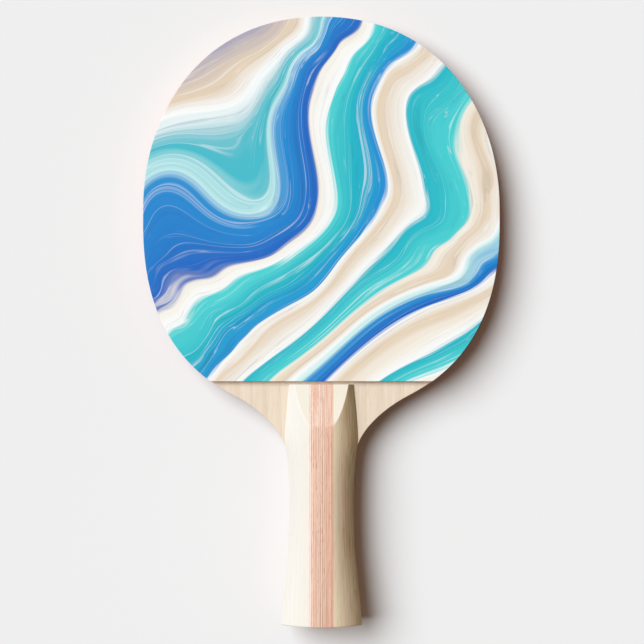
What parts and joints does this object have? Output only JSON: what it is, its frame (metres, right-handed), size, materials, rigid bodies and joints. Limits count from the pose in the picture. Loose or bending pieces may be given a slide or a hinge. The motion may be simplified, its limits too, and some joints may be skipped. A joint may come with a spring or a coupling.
{
  "type": "table tennis bat",
  "caption": "Table tennis bat with a plywood blade, a flared wooden handle with a laminated stripe, and a sponge-backed rubber sheet on each face.",
  "frame": {"origin": "middle of the bat's length and width, at the lowest point of the handle's back, where the bat lies on a table", "axes": "+Y along the bat from the butt to the tip of the head, +Z out of the printed front face, +X across to the right seen from the front"},
  "size_m": [0.15, 0.256, 0.0242],
  "materials": {
    "face_wood": "pale face veneer of the blade, fine lengthwise grain, sanded matte",
    "inner_wood": "darker crosswise inner ply, seen at its cut edge",
    "core_wood": "light lengthwise core ply, seen at its cut edge",
    "handle_wood": "very pale cream wood, sanded smooth, satin",
    "rose_veneer": "rose-coloured thin veneer on edge, sanded smooth",
    "pale_veneer": "pale pink thin veneer on edge, sanded smooth",
    "printed_rubber": "smooth rubber topsheet with a flowing print in blue, turquoise, white and sand",
    "red_rubber": "smooth red rubber topsheet, slightly tacky",
    "sponge": "orange fine-celled sponge, matte"
  },
  "bodies": {
    "root": {"blade_core_ply": "core_wood", "blade_inner_ply_front": "inner_wood", "blade_inner_ply_back": "inner_wood", "blade_face_ply_front": "face_wood", "blade_face_ply_back": "face_wood", "front_sponge": "sponge", "back_sponge": "sponge", "front_topsheet": "printed_rubber", "back_topsheet": "red_rubber", "handle_cheek_front_left": "handle_wood", "handle_cheek_front_right": "handle_wood", "handle_cheek_back_left": "handle_wood", "handle_cheek_back_right": "handle_wood", "stripe_veneer_front_01": "pale_veneer", "stripe_veneer_front_02": "rose_veneer", "stripe_veneer_front_03": "rose_veneer", "stripe_veneer_front_04": "rose_veneer", "stripe_veneer_front_05": "rose_veneer", "stripe_veneer_front_06": "rose_veneer", "stripe_veneer_front_07": "rose_veneer", "stripe_veneer_front_08": "rose_veneer", "stripe_veneer_front_09": "rose_veneer", "stripe_veneer_front_10": "rose_veneer", "stripe_veneer_front_11": "pale_veneer", "stripe_veneer_back_01": "pale_veneer", "stripe_veneer_back_02": "rose_veneer", "stripe_veneer_back_03": "rose_veneer", "stripe_veneer_back_04": "rose_veneer", "stripe_veneer_back_05": "rose_veneer", "stripe_veneer_back_06": "rose_veneer", "stripe_veneer_back_07": "rose_veneer", "stripe_veneer_back_08": "rose_veneer", "stripe_veneer_back_09": "rose_veneer", "stripe_veneer_back_10": "rose_veneer", "stripe_veneer_back_11": "pale_veneer"}
  },
  "joints": []
}
